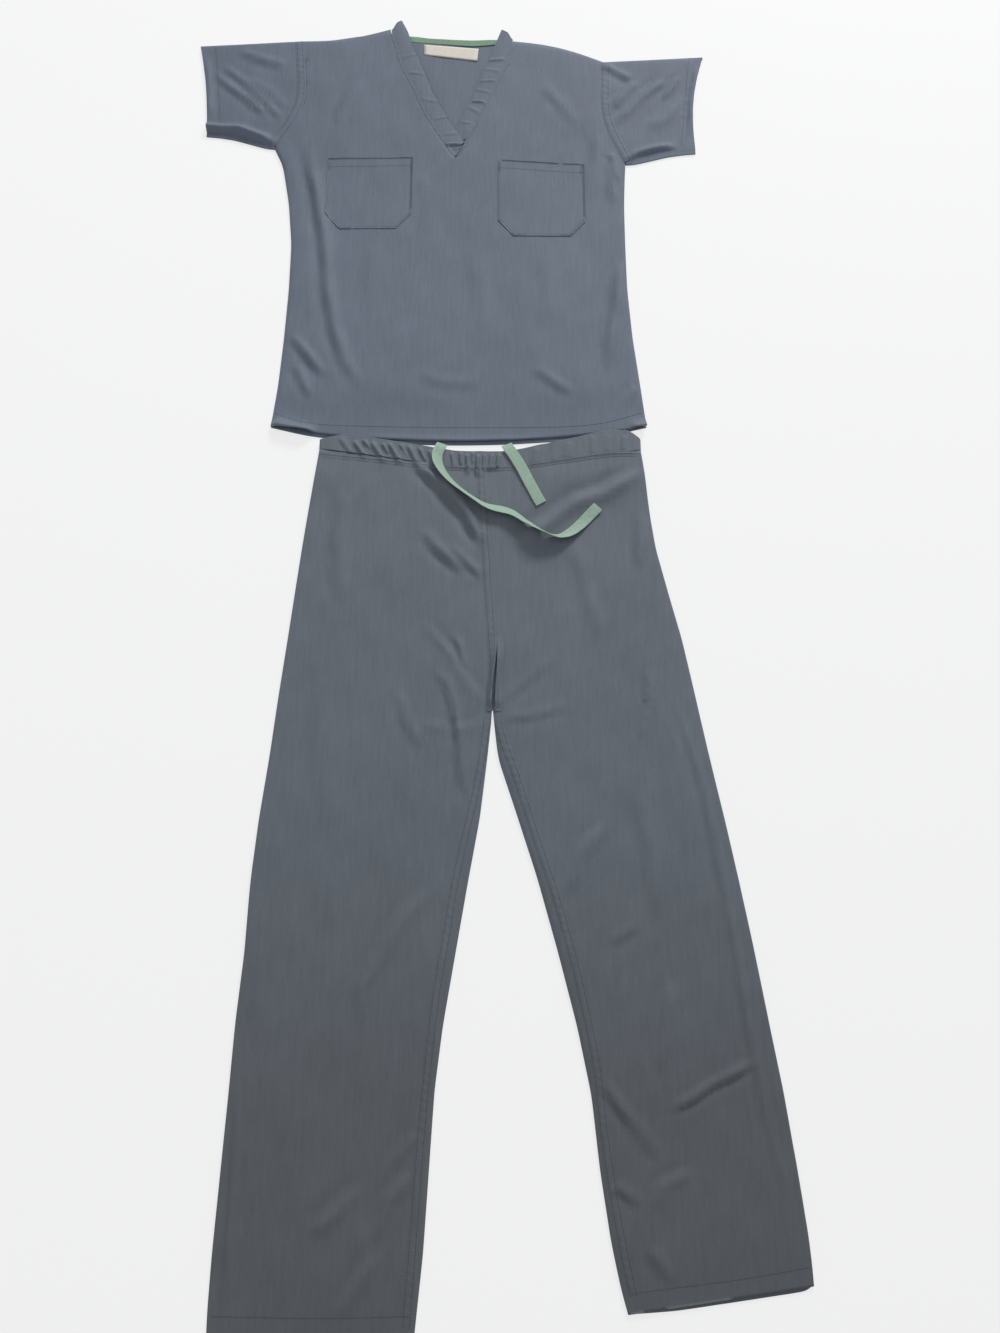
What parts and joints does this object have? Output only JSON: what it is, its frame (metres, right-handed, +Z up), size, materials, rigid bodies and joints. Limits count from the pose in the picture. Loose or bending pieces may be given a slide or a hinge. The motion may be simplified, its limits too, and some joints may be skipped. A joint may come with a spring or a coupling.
{
  "type": "medical scrubs set laid flat",
  "caption": "Medical scrubs laid flat: a short-sleeved V-neck top with patch pockets above drawstring trousers, whose waist corners lie on its hem.",
  "frame": {"origin": "on the surface the set lies on, under the middle of its bounding box", "axes": "+Z up from the surface, +Y from the feet to the head end, +X to the wearer's left"},
  "size_m": [0.811, 1.8, 0.0206],
  "materials": {
    "scrub_cloth": "slate blue-grey polyester-cotton plain weave with a slight sheen",
    "mint_string": "flat woven mint green drawstring tape",
    "green_tape": "ribbed green neck tape",
    "cream_label": "bare cream woven label"
  },
  "bodies": {
    "root": {"top_back": "scrub_cloth", "top_front": "scrub_cloth", "sleeve_right": "scrub_cloth", "sleeve_left": "scrub_cloth", "neck_band_right": "scrub_cloth", "neck_band_left": "scrub_cloth", "neck_tape": "green_tape", "neck_label": "cream_label", "pocket_right": "scrub_cloth", "pocket_left": "scrub_cloth", "leg_right": "scrub_cloth", "leg_left": "scrub_cloth", "waistband": "scrub_cloth", "drawstring_right_end": "mint_string", "drawstring_left_end": "mint_string"}
  },
  "joints": []
}
